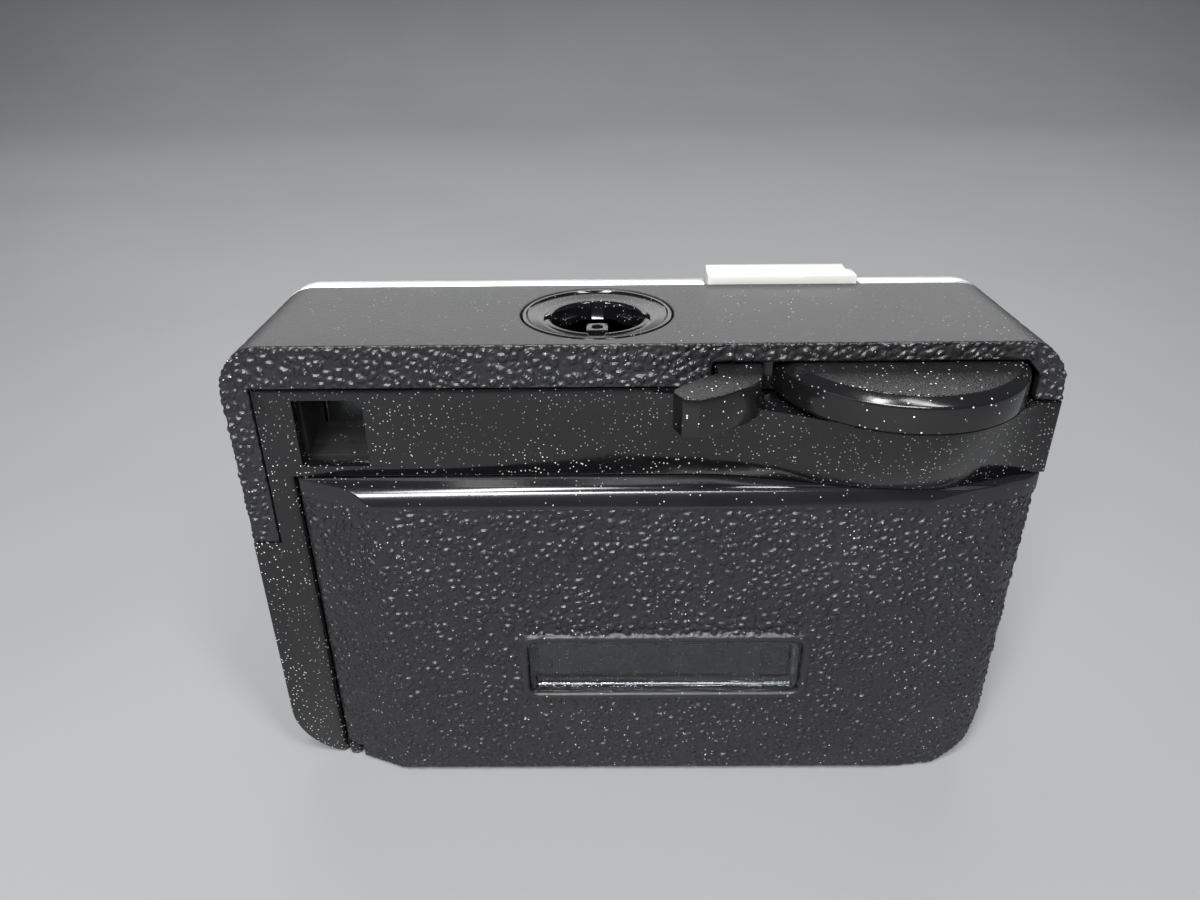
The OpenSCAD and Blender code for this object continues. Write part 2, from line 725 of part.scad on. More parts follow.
module back_door() color(shell_black) {
    difference() {
        intersection() {
            extrude_z(door_low_z, door_top_z) door_plan();
            // top bevel and the rounded foot, seen from the side
            extrude_x(-60, 60)
                polygon([[0, 0], [door_y - 1.2, 0], [door_y - 0.3, 0.7], [door_y, 1.9],
                         [door_y, door_top_z - 2.6], [door_y - 0.35, door_top_z - 1.7],
                         [door_y - 0.95, door_top_z - 0.5], [door_y - 1.5, door_top_z - 0.05],
                         [door_y - 2, door_top_z], [0, door_top_z]]);
            extrude_y(0, 30) body_outline(0.35);
        }
        // hollow inside
        intersection() {
            extrude_z(door_low_z + door_t, door_top_z - door_t) door_hollow_plan();
            extrude_y(0, 30) body_outline(0.35 + door_t);
        }
        // window and its seat
        extrude_y(10, 30) window_outline(0);
        extrude_y(10, door_y - 0.9) window_outline(0.9);
        // hinge bore, and room for the ear at the foot
        rod_z(hinge_x, hinge_y, -1, 60, hinge_pin_r + 0.06);
        box([hinge_x - 1.7, 10, -1], [hinge_x + 3, 20, floor_z + gap]);
    }
    // raised rim around the window
    extrude_y(door_y - 0.8, door_y + 0.4) difference() {
        window_outline(0.9);
        window_outline(0);
    }
}

// Outline of the cartridge window, seen from behind
module window_outline(grow) {
    x = lens_x - 0.3;
    z = 21.2;
    round_rect(x - window_w / 2 - grow, z - window_h / 2 - grow,
               x + window_w / 2 + grow, z + window_h / 2 + grow, 1.2 + grow);
}

module door_window() color([0.6, 0.62, 0.65, 0.35]) {
    extrude_y(door_y - 1.9, door_y - 0.95) window_outline(0.7);
    extrude_y(door_y - 1.9, door_y - 0.2) window_outline(-0.1);
}

// Leaf spring that presses the cartridge onto the gate
module cartridge_spring() color(steel) {
    extrude_x(lens_x + 4, lens_x + 12)
        polygon([[door_y - 1.6, 30], [door_y - 1.6, 33.8], [door_y - 2.8, 38],
                 [door_y - 1.6, 42.2], [door_y - 1.6, 46], [door_y - 1.9, 46],
                 [door_y - 1.9, 42.4], [door_y - 3.1, 38], [door_y - 1.9, 33.6],
                 [door_y - 1.9, 30]]);
}

module door_hinge_pin() color(steel) {
    rod_z(hinge_x, hinge_y, 0.2, finder_z0 - 0.5, hinge_pin_r);
}

// Latch slider in the side wall, with its nose and ribs
module door_latch() color(gloss_black) {
    box([-53.7, 0.2, 18], [-52.5, door_wrap_y - 0.4, 30]);
    box([-53, 4.3, 22], [-51.9, door_wrap_y - 0.3, 26]);
    for (y = [1:1.2:5.8]) box([-54, y, 19.2], [-53.6, y + 0.5, 28.8]);
}

module latch_spring() color(steel) {
    translate([-51.7, -2.5, 24]) rotate([-90, 0, 0]) coil(0.7, 0.12, 6.6, 6);
}

// ---- finder ----

module finder_tube() color(gloss_black) {
    difference() {
        box([finder_x0 - 1.4, seat_y + 0.3, finder_z0 - 1], [finder_x1 + 1.4, 12.5, finder_z1 + 1]);
        box([finder_x0, -20, finder_z0], [finder_x1, 20, finder_z1]);
        box([finder_x0 - 0.6, -20, finder_z0 - 0.5], [finder_x1 + 0.6, seat_y + 2.2, finder_z1 + 0.5]);
        box([finder_x0 - 0.6, 2.8, finder_z0 - 0.5], [finder_x1 + 0.6, 4, finder_z1 + 0.5]);
    }
}

// A finder lens: a thin pane with a thicker middle
module finder_pane(y0, y1, step_y0, step_y1) color([0.7, 0.8, 0.9, 0.4]) {
    box([finder_x0 - 0.5, y0, finder_z0 - 0.4], [finder_x1 + 0.5, y1, finder_z1 + 0.4]);
    box([finder_x0 + 0.1, step_y0, finder_z0 + 0.1], [finder_x1 - 0.1, step_y1, finder_z1 - 0.1]);
}

module finder_front_lens() finder_pane(seat_y + 0.5, seat_y + 1.7, seat_y + 1.6, seat_y + 2.6);

module finder_eye_lens() finder_pane(2.8, 4, 2, 2.9);

// ---- fittings ----

module tripod_bush() color(brass) {
    difference() {
        rod_z(lens_x, bush_y, 0, bush_top_z, bush_r);
        rod_z(lens_x, bush_y, -1, bush_top_z + 1, bush_bore_r);
    }
}

module mechanism_screws() color(steel) {
    for (p = POSTS) difference() {
        union() {
            rod_z(p[0], p[1], plate_z + 0.8, plate_z + 1.8, 1.7);
            rod_z(p[0], p[1], plate_z - 5, plate_z + 0.9, 0.8);
        }
        box([p[0] - 2, p[1] - 0.2, plate_z + 1.3], [p[0] + 2, p[1] + 0.2, plate_z + 3]);
    }
}

module front_plate_screws() color(steel) {
    for (x = SCREWS) difference() {
        union() {
            rod_y(x, screw_z, front_y - 0.5, front_y + 0.5, 1.8);
            rod_y(x, screw_z, front_y + 0.4, cavity_front_y, 0.9);
        }
        box([x - 2, front_y - 1, screw_z - 0.2], [x + 2, front_y, screw_z + 0.2]);
    }
}

top_shell();
rear_frame();
body_frame();
front_bulkhead();
mechanism_deck();
take_up_chamber();
supply_chamber();
light_box();
film_gate_frame();
front_plate();
front_inlay();
lens_barrel();
lens_trim_ring();
front_lens();
lens_retainer();
aperture_plate();
shutter_plate();
shutter_blade();
release_plate();
release_rod();
release_spring();
wind_lever();
wind_pinion();
wind_spring();
takeup_gear();
takeup_fork();
ratchet_wheel();
ratchet_pawl();
index_slide();
flash_socket();
socket_pinion();
socket_post();
flash_striker();
mechanism_plate();
film_feeler();
back_door();
door_window();
cartridge_spring();
door_hinge_pin();
door_latch();
latch_spring();
finder_tube();
finder_front_lens();
finder_eye_lens();
tripod_bush();
mechanism_screws();
front_plate_screws();
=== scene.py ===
"""Looks of a cartridge snapshot camera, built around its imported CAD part.

Back faces +Y, lens faces -Y, +Z up. Lengths in the code are millimetres times MM.
"""

import json
import math

import bmesh
import bpy
import numpy as np
from mathutils import Matrix, Vector

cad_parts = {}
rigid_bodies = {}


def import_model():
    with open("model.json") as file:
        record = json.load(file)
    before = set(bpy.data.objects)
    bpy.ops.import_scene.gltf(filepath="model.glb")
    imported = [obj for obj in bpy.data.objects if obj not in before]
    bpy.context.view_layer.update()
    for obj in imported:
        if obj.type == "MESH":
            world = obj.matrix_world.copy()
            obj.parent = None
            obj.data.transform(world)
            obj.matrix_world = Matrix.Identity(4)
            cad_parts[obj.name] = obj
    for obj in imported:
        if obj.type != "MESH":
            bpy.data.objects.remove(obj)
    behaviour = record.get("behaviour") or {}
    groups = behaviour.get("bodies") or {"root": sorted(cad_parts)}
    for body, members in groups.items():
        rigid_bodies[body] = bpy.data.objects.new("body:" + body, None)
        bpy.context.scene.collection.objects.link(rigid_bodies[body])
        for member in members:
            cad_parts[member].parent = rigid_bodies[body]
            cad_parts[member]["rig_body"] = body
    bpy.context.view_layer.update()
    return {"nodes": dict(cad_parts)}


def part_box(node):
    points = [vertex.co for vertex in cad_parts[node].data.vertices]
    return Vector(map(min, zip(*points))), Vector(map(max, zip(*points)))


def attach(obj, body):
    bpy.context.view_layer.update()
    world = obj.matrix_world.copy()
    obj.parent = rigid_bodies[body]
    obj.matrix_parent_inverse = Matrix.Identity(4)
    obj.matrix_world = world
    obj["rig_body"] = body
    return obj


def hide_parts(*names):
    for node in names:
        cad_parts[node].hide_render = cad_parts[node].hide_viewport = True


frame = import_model()

MM = 0.001
NODES = frame["nodes"]
BODY_OF = {n: o["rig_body"] for n, o in NODES.items()}
SLOT_OF = {n: o.data.materials[0].name.split(".")[0] for n, o in NODES.items()}

# ---------------------------------------------------------------- node materials


class Finish:
    """One Principled material: what varies is wired in, and the rest is set on its sockets."""

    def __init__(self, name, colour, roughness, metallic=0.0, specular=0.5, ior=1.5):
        self.material = bpy.data.materials.new(name)
        self.material.use_nodes = True
        self.tree = self.material.node_tree
        self.shader = self.tree.nodes["Principled BSDF"]
        self.coords = self.add("ShaderNodeTexCoord")
        self.place = self.coords.outputs["Object"]
        self.colour = (*colour, 1.0)
        self.roughness = roughness
        self.shader.inputs["Base Color"].default_value = self.colour
        self.shader.inputs["Roughness"].default_value = roughness
        self.shader.inputs["Metallic"].default_value = metallic
        self.shader.inputs["Specular IOR Level"].default_value = specular
        self.shader.inputs["IOR"].default_value = ior
        self.bump = None

    def add(self, kind, **settings):
        node = self.tree.nodes.new(kind)
        for key, value in settings.items():
            setattr(node, key, value)
        return node

    def feed(self, socket, value):
        if isinstance(value, bpy.types.NodeSocket):
            self.tree.links.new(value, socket)
        elif value is not None:
            socket.default_value = value

    def calc(self, operation, a, b=None):
        node = self.add("ShaderNodeMath", operation=operation)
        self.feed(node.inputs[0], a)
        self.feed(node.inputs[1], b)
        return node.outputs[0]

    def span(self, value, low, high, to_low=0.0, to_high=1.0):
        """Maps low..high to to_low..to_high with soft ends; low may be above high."""
        if low > high:
            low, high, to_low, to_high = high, low, to_high, to_low
        node = self.add("ShaderNodeMapRange", interpolation_type="SMOOTHSTEP")
        for socket, number in zip(node.inputs[:5], (value, low, high, to_low, to_high)):
            self.feed(socket, number)
        return node.outputs[0]

    def scaled(self, size_mm, stretch):
        """Object coordinates in steps of size_mm, longer along an axis whose stretch is above 1."""
        node = self.add("ShaderNodeMapping")
        self.feed(node.inputs["Vector"], self.place)
        node.inputs["Scale"].default_value = [1 / (size_mm * MM * s) for s in stretch]
        return node.outputs["Vector"]

    def noise(self, size_mm, detail=2.0, stretch=(1, 1, 1)):
        node = self.add("ShaderNodeTexNoise")
        self.feed(node.inputs["Vector"], self.scaled(size_mm, stretch))
        node.inputs["Scale"].default_value = 1.0
        node.inputs["Detail"].default_value = detail
        node.inputs["Roughness"].default_value = 0.55
        return node.outputs["Fac"]

    def cells(self, size_mm):
        node = self.add("ShaderNodeTexVoronoi")
        self.feed(node.inputs["Vector"], self.scaled(size_mm, (1, 1, 1)))
        node.inputs["Scale"].default_value = 1.0
        return node

    def axis(self, socket, name):
        node = self.add("ShaderNodeSeparateXYZ")
        self.feed(node.inputs[0], socket)
        return node.outputs[name]

    def mix(self, factor, a, b):
        node = self.add("ShaderNodeMix", data_type="RGBA")
        self.feed(node.inputs["Factor"], factor)
        self.feed(node.inputs["A"], a)
        self.feed(node.inputs["B"], b)
        return node.outputs["Result"]

    def tint(self, factor, colour):
        """Blends the base colour towards another where factor is high."""
        self.colour = self.mix(factor, self.colour, (*colour, 1.0))
        self.feed(self.shader.inputs["Base Color"], self.colour)

    def rough(self, factor, value):
        """Moves the roughness towards a value where factor is high."""
        node = self.add("ShaderNodeMix", data_type="FLOAT")
        self.feed(node.inputs["Factor"], factor)
        self.feed(node.inputs["A"], self.roughness)
        self.feed(node.inputs["B"], value)
        self.roughness = node.outputs["Result"]
        self.feed(self.shader.inputs["Roughness"], self.roughness)

    def relief(self, height, depth_mm):
        """Adds bump; height from 0 to 1 stands for depth_mm."""
        node = self.add("ShaderNodeBump")
        node.inputs["Strength"].default_value = 1.0
        node.inputs["Distance"].default_value = depth_mm * MM
        self.feed(node.inputs["Height"], height)
        self.feed(node.inputs["Normal"], self.bump)
        self.bump = node.outputs["Normal"]
        self.feed(self.shader.inputs["Normal"], self.bump)

    def facing_up(self, low=0.75, high=0.95):
        """Mask of what faces up, from the Z part of the object's own normal."""
        return self.span(self.axis(self.coords.outputs["Normal"], "Z"), low, high)

    def specks(self, size_mm, share, radius=0.17, where=None):
        """Mask of small round dust grains: a share of the cells of size_mm holds one."""
        cell = self.cells(size_mm)
        grain = self.span(cell.outputs["Distance"], radius, radius * 0.55)
        chosen = self.span(self.axis(cell.outputs["Color"], "X"), 1 - share, 1 - share + 0.02)
        mask = self.calc("MULTIPLY", grain, chosen)
        return mask if where is None else self.calc("MULTIPLY", mask, where)

    def hairs(self, size_mm, width, where=0.62):
        """Mask of fine curved lines, in short lengths."""
        line = self.calc("ABSOLUTE", self.calc("SUBTRACT", self.noise(size_mm, 1.0), 0.5))
        broken = self.span(self.noise(size_mm * 1.7, 2.0, stretch=(1, 1, 1.3)), where, where + 0.05)
        return self.calc("MULTIPLY", self.span(line, width, width * 0.4), broken)

    def dust(self, share, size_mm=0.62, where=None):
        """Pale dust: fine specks in drifts, and a few larger grains."""
        drift = self.span(self.noise(16, 2.0), 0.38, 0.68, 0.25, 1.0)
        if where is not None:
            drift = self.calc("MULTIPLY", drift, where)
        fine = self.specks(size_mm, share, 0.22, drift)
        large = self.specks(size_mm * 2.6, share * 0.35, 0.1, drift)
        mask = self.calc("MAXIMUM", fine, large)
        self.tint(self.calc("MULTIPLY", mask, 0.9), DUST)
        self.rough(mask, 0.9)
        self.relief(mask, 0.03)


DUST = (0.8, 0.8, 0.78)


def grained_black():
    """Moulded leather grain: the mesh has the pebbles, and this adds pores, shine and dust."""
    f = Finish("grained_black", (0.008, 0.008, 0.009), 0.4, specular=0.5)
    top = f.facing_up()
    height = f.add("ShaderNodeAttribute", attribute_name="grain_height").outputs["Fac"]
    polish = f.add("ShaderNodeAttribute", attribute_name="polish").outputs["Fac"]
    plain = f.calc("SUBTRACT", 1.0, polish)
    f.rough(height, 0.22)
    f.rough(f.span(f.noise(9, 3.0), 0.45, 0.75, 0.0, 0.6), 0.36)
    f.rough(top, 0.4)
    f.rough(polish, 0.13)
    f.tint(f.span(f.noise(14, 4.0), 0.4, 0.75, 0.0, 0.5), (0.014, 0.014, 0.016))
    f.relief(f.calc("MULTIPLY", f.noise(0.2, 3.0), plain), 0.03)
    f.relief(f.calc("MULTIPLY", f.noise(0.5, 2.0), plain), 0.05)
    f.relief(height, 0.14)
    f.dust(0.16, 0.5)
    return f.material


def gloss_black():
    """Polished moulding with smudges and fine scratches; dust lies thicker low on the strip."""
    f = Finish("gloss_black", (0.0035, 0.0035, 0.004), 0.09, specular=0.5)
    low = f.span(f.axis(f.place, "Z"), 58 * MM, 51 * MM)
    f.rough(f.span(f.noise(11, 4.0), 0.42, 0.72, 0.0, 0.8), 0.2)
    f.rough(f.facing_up(), 0.26)
    f.relief(f.noise(0.9, 2.0), 0.005)
    f.relief(f.noise(7, 1.0), 0.04)
    hairs = f.hairs(4, 0.002, 0.7)
    f.tint(f.calc("MULTIPLY", hairs, 0.2), DUST)
    f.rough(hairs, 0.4)
    f.dust(0.7, 0.5, where=f.span(low, 0, 1, 0.55, 1.0))
    return f.material


def lever_black():
    """Satin moulding: a sparkling top face and a smoother rim."""
    f = Finish("lever_black", (0.006, 0.006, 0.0065), 0.16, specular=0.5)
    top = f.facing_up(0.9, 0.97)
    f.rough(top, 0.36)
    f.rough(f.span(f.noise(4, 3.0), 0.45, 0.75, 0.0, 0.6), 0.26)
    grain = f.cells(0.26)
    f.relief(f.calc("MULTIPLY", grain.outputs["Distance"], top), 0.08)
    f.relief(f.noise(0.5, 2.0, stretch=(3, 3, 1)), 0.008)
    f.dust(0.3)
    return f.material


def matt_black():
    f = Finish("matt_black", (0.01, 0.01, 0.0105), 0.6, specular=0.3)
    f.rough(f.span(f.noise(6, 3.0), 0.4, 0.7), 0.75)
    f.tint(f.span(f.noise(3, 4.0), 0.5, 0.8, 0.0, 0.5), (0.025, 0.025, 0.026))
    f.relief(f.noise(0.25, 3.0), 0.03)
    f.dust(0.2)
    return f.material


def satin_silver():
    """Sheet metal with a fine grain across and slightly darker patches at random."""
    f = Finish("satin_silver", (0.66, 0.66, 0.655), 0.3, metallic=1.0)
    brush = f.noise(0.14, 3.0, stretch=(60, 1, 1))
    f.rough(f.span(brush, 0.3, 0.7), 0.42)
    f.tint(f.span(f.noise(12, 4.0), 0.5, 0.8, 0.0, 0.6), (0.62, 0.615, 0.6))
    f.relief(brush, 0.006)
    f.relief(f.noise(18, 1.0), 0.06)
    f.dust(0.06)
    return f.material


def bright_ring():
    f = Finish("bright_ring", (0.86, 0.86, 0.87), 0.12, metallic=1.0)
    f.rough(f.span(f.noise(3, 4.0), 0.45, 0.75), 0.24)
    f.tint(f.span(f.noise(2, 3.0), 0.55, 0.8, 0.0, 0.5), (0.6, 0.6, 0.6))
    f.relief(f.noise(0.4, 2.0), 0.003)
    return f.material


def pale_plastic():
    f = Finish("pale_plastic", (0.42, 0.418, 0.405), 0.3)
    f.rough(f.span(f.noise(5, 3.0), 0.4, 0.7), 0.42)
    f.tint(f.span(f.noise(4, 4.0), 0.5, 0.8, 0.0, 0.5), (0.34, 0.335, 0.315))
    f.relief(f.noise(0.8, 2.0), 0.01)
    f.dust(0.05)
    return f.material


def metal(name, colour, worn, roughness):
    f = Finish(name, colour, roughness, metallic=1.0)
    f.rough(f.span(f.noise(2.5, 4.0), 0.4, 0.75), roughness + 0.18)
    f.tint(f.span(f.noise(1.8, 4.0), 0.5, 0.8, 0.0, 0.7), worn)
    f.relief(f.noise(0.1, 2.0, stretch=(8, 1, 1)), 0.004)
    return f.material


def clear(name, colour, roughness, share):
    """Clear moulding or glass, with rubbed patches and dust."""
    f = Finish(name, colour, roughness, ior=1.49)
    f.shader.inputs["Transmission Weight"].default_value = 1.0
    f.rough(f.span(f.noise(5, 4.0), 0.55, 0.8, 0.0, 0.6), roughness + 0.1)
    f.relief(f.noise(3, 2.0), 0.004)
    f.dust(share, 0.5)
    return f.material


FINISHES = {
    "grain_black": grained_black(),
    "gloss_black": gloss_black(),
    "lever_black": lever_black(),
    "matt_black": matt_black(),
    "satin_silver": satin_silver(),
    "bright_ring": bright_ring(),
    "pale_plastic": pale_plastic(),
    "steel": metal("steel", (0.58, 0.58, 0.57), (0.36, 0.35, 0.33), 0.24),
    "dark_steel": metal("dark_steel", (0.12, 0.12, 0.125), (0.2, 0.19, 0.18), 0.35),
    "brass": metal("brass", (0.68, 0.5, 0.2), (0.42, 0.29, 0.11), 0.25),
    "clear": clear("clear", (0.94, 0.96, 0.98), 0.03, 0.05),
    "window_clear": clear("window_clear", (0.72, 0.74, 0.78), 0.03, 0.2),
}

# ---------------------------------------------------------------- meshes


def dress(obj, slot):
    obj.data.materials.clear()
    obj.data.materials.append(FINISHES[slot])


def open_mesh(node):
    """A CAD node's mesh as a bmesh, welded, with its flat faces whole again."""
    bm = bmesh.new()
    bm.from_mesh(NODES[node].data)
    bmesh.ops.remove_doubles(bm, verts=bm.verts, dist=0.002 * MM)
    bmesh.ops.dissolve_limit(bm, angle_limit=math.radians(0.5), verts=bm.verts, edges=bm.edges)
    return bm


def round_edges(bm, width_mm, segments=2, chosen=None):
    """Rounds the sharp edges, or those of them that chosen picks."""
    sharp = math.radians(32)
    edges = [e for e in bm.edges if len(e.link_faces) == 2 and e.calc_face_angle(0) > sharp]
    if chosen is not None:
        edges = [e for e in edges if chosen(e)]
    bmesh.ops.bevel(bm, geom=edges, offset=width_mm * MM, offset_type="OFFSET", segments=segments,
                    profile=0.5, affect="EDGES", clamp_overlap=False)


def cut_level(bm, z_mm, keep_above):
    """Cuts a bmesh level at z_mm, keeps one side and closes the cut."""
    geom = bm.verts[:] + bm.edges[:] + bm.faces[:]
    cut = bmesh.ops.bisect_plane(bm, geom=geom, plane_co=(0, 0, z_mm * MM), plane_no=(0, 0, 1),
                                 clear_outer=not keep_above, clear_inner=keep_above)
    rims = [e for e in cut["geom_cut"] if isinstance(e, bmesh.types.BMEdge)]
    bmesh.ops.holes_fill(bm, edges=rims, sides=0)


def bridge(bm, a, b):
    """Faces between two closed rings of the same number of vertices."""
    for i in range(len(a)):
        j = (i + 1) % len(a)
        bm.faces.new((a[i], b[i], b[j], a[j]))


def smoothed(bm, name, degrees=28):
    """A mesh from a bmesh, shaded smooth between its sharp edges."""
    for face in bm.faces:
        face.smooth = True
    for edge in bm.edges:
        edge.smooth = edge.calc_face_angle(0) < math.radians(degrees)
    mesh = bpy.data.meshes.new(name)
    bm.to_mesh(mesh)
    bm.free()
    return mesh


def hashed(cells, salt):
    """A repeatable number from 0 to 1 for each whole-number cell."""
    n = cells.astype(np.int64)
    n = n[..., 0] * 73856093 ^ n[..., 1] * 19349663 ^ n[..., 2] * 83492791 ^ salt * 40503
    n = (n ^ (n >> 13)) * 1274126177 & 0xFFFFFFFF
    return ((n ^ (n >> 16)) & 0xFFFF) / 65535


def pebbles(points, size_mm):
    """Height from 0 in the creases to 1 on the tops of a leather grain, for points in metres."""
    p = points / (size_mm * MM)
    warp = np.sin(p[:, [1, 2, 0]] * 1.7 + 2.1) + np.sin(p[:, [2, 0, 1]] * 0.63 + 0.7)
    p = p + 0.22 * warp
    base = np.floor(p)
    near = np.full(len(p), 9.0)
    second = np.full(len(p), 9.0)
    for step in np.ndindex(3, 3, 3):
        cell = base + np.array(step) - 1
        seed = cell + np.stack([hashed(cell, k) for k in (1, 2, 3)], axis=1)
        away = np.linalg.norm(p - seed, axis=1)
        second = np.minimum(second, np.maximum(near, away))
        near = np.minimum(near, away)
    t = np.clip((second - near) / 0.4, 0, 1)
    return t * t * (3 - 2 * t) * (1 - 0.45 * near ** 2)


def remeshed(bm, voxel_mm):
    """An even mesh of the same solid, fine enough to carry a grain."""
    mesh = bpy.data.meshes.new("coarse")
    bm.to_mesh(mesh)
    bm.free()
    obj = bpy.data.objects.new("coarse", mesh)
    bpy.context.scene.collection.objects.link(obj)
    voxels = obj.modifiers.new("voxels", "REMESH")
    voxels.mode = "VOXEL"
    voxels.voxel_size = voxel_mm * MM
    fine = bpy.data.meshes.new_from_object(obj.evaluated_get(bpy.context.evaluated_depsgraph_get()))
    bpy.data.objects.remove(obj)
    return fine


def raise_grain(mesh, mask, size_mm, depth_mm):
    """Presses a leather grain into a fine mesh; mask says how deep at each place and normal."""
    count = len(mesh.vertices)
    places = np.empty(count * 3)
    normals = np.empty(count * 3)
    mesh.vertices.foreach_get("co", places)
    mesh.vertex_normals.foreach_get("vector", normals)
    places, normals = places.reshape(-1, 3), normals.reshape(-1, 3)
    share = mask(places / MM, normals)
    height = pebbles(places, size_mm)
    places = places - normals * ((1 - 0.8 * height) * share * depth_mm * MM)[:, None]
    mesh.vertices.foreach_set("co", places.ravel())
    layer = mesh.attributes.new("grain_height", "FLOAT", "POINT")
    layer.data.foreach_set("value", (height * share).astype(np.float32))
    mesh.shade_smooth()
    mesh.update()


def place_skin(mesh, node, name=None):
    """A mesh becomes a piece that stands for a CAD node and rides on its body."""
    piece = bpy.data.objects.new(name or node + "_skin", mesh)
    bpy.context.scene.collection.objects.link(piece)
    dress(piece, SLOT_OF[node])
    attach(piece, BODY_OF[node])
    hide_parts(node)
    return piece


def fade(distance_mm, width_mm):
    return np.clip(distance_mm / width_mm, 0, 1)


# Nodes whose edges are rounded, with the width in millimetres
ROUNDED = {
    "rear_frame": 0.15, "body_frame": 0.15, "front_plate": 0.3, "lens_barrel": 0.15,
    "release_plate": 0.25, "wind_lever": 0.3, "socket_post": 0.15, "door_latch": 0.12,
    "mechanism_screws": 0.1, "front_plate_screws": 0.12, "tripod_bush": 0.15,
}

GRAIN = dict(size_mm=1.2, depth_mm=0.3)
VOXEL_MM = 0.27


def make_top_shell():
    """Leather grain on the back band, the skirts and the round corners; the roof stays fine."""
    low, high = (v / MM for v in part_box("top_shell"))

    corner = 6.5
    skirt = 1.2

    def mask(p, n):
        near_side = np.abs(p[:, 0]) > high.x - corner
        on_skirt = np.abs(p[:, 0]) > high.x - skirt
        grained = near_side & (on_skirt | (p[:, 2] > high.z - corner))
        outward = np.where(grained, n[:, 0] * np.sign(p[:, 0]), 0)
        behind = np.where(p[:, 1] > high.y - 1, n[:, 1], 0)
        side = np.clip((np.maximum(outward, behind) - 0.35) / 0.3, 0, 1)
        return side * np.clip((0.93 - n[:, 2]) / 0.2, 0, 1) * fade(p[:, 1] - low.y, 0.6)

    mesh = remeshed(open_mesh("top_shell"), VOXEL_MM)
    raise_grain(mesh, mask, **GRAIN)
    place_skin(mesh, "top_shell")


def make_back_door():
    """A smooth bevel along the top; below it, leather grain on the field and the flanks."""
    low, high = (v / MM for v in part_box("back_door"))
    window_low, window_high = (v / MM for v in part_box("door_window"))
    bevel_height = 2.62
    field_top = high.z - bevel_height
    rim = 0.3

    def part(keep_above):
        bm = open_mesh("back_door")
        cut_level(bm, field_top, keep_above)
        return bm

    def mask(p, n):
        gap_x = np.maximum(window_low.x - rim - p[:, 0], p[:, 0] - window_high.x - rim)
        gap_z = np.maximum(window_low.z - rim - p[:, 2], p[:, 2] - window_high.z - rim)
        outside = np.maximum(np.clip((n[:, 1] - 0.25) / 0.2, 0, 1),
                             np.where(p[:, 0] < low.x + 1, np.clip(-n[:, 0] - 0.2, 0, 1), 0))
        hidden = (n[:, 1] > 0.9) & (p[:, 1] < high.y - 1.1) & (np.abs(p[:, 0]) < 34)
        return (outside * fade(np.maximum(gap_x, gap_z), 0.4) * fade(field_top - p[:, 2], 0.35)
                * fade(p[:, 2] - low.z, 0.6) * ~hidden)

    upper = part(True)
    round_edges(upper, 0.18, chosen=lambda e: min(v.co.z for v in e.verts) > (field_top + 0.1) * MM)
    bevel = smoothed(upper, "door_bevel")
    polish = bevel.attributes.new("polish", "FLOAT", "POINT")
    polish.data.foreach_set("value", np.ones(len(bevel.vertices), np.float32))
    place_skin(bevel, "back_door", "back_door_bevel")
    mesh = remeshed(part(False), VOXEL_MM)
    raise_grain(mesh, mask, **GRAIN)
    place_skin(mesh, "back_door", "back_door_field")


def make_front_inlay():
    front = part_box("front_inlay")[0].y / MM

    def mask(p, n):
        return np.clip(-n[:, 1] - 0.2, 0, 1) * (p[:, 1] < front + 0.15)

    mesh = remeshed(open_mesh("front_inlay"), VOXEL_MM)
    raise_grain(mesh, mask, **GRAIN)
    place_skin(mesh, "front_inlay")


def make_finder_tube():
    """The tube, and a ribbed sill on its floor behind the eyepiece's opening."""
    bm = open_mesh("finder_tube")
    round_edges(bm, 0.1)
    place_skin(smoothed(bm, "finder_tube"), "finder_tube")
    low, high = (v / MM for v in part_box("finder_eye_lens"))
    left, right, floor = low.x + 0.45, high.x - 0.45, low.z + 0.35
    ribs = 22
    rib_depth = 0.22
    # Places along Y and heights above the floor; the two in the middle carry the ribs
    start = [(5.2, 0), (5.2, 1.5), (9.3, 1.3)]
    ribbed = [(9.9, 1.05), (10.2, 0.55)]
    end = [(12.0, 0.1), (12.0, 0)]
    bm = bmesh.new()
    rows = []
    for i in range(2 * ribs + 1):
        x = left + i * (right - left) / ribs / 2
        out = rib_depth if i % 2 else 0.0
        profile = start + [(y + out, up) for y, up in ribbed] + end
        rows.append([bm.verts.new((x * MM, y * MM, (floor + up) * MM)) for y, up in profile])
    for a, b in zip(rows, rows[1:]):
        bridge(bm, a, b)
    bm.faces.new(rows[0][::-1])
    bm.faces.new(rows[-1])
    bmesh.ops.recalc_face_normals(bm, faces=bm.faces)
    place_skin(smoothed(bm, "finder_sill", 20), "finder_tube", "finder_sill")


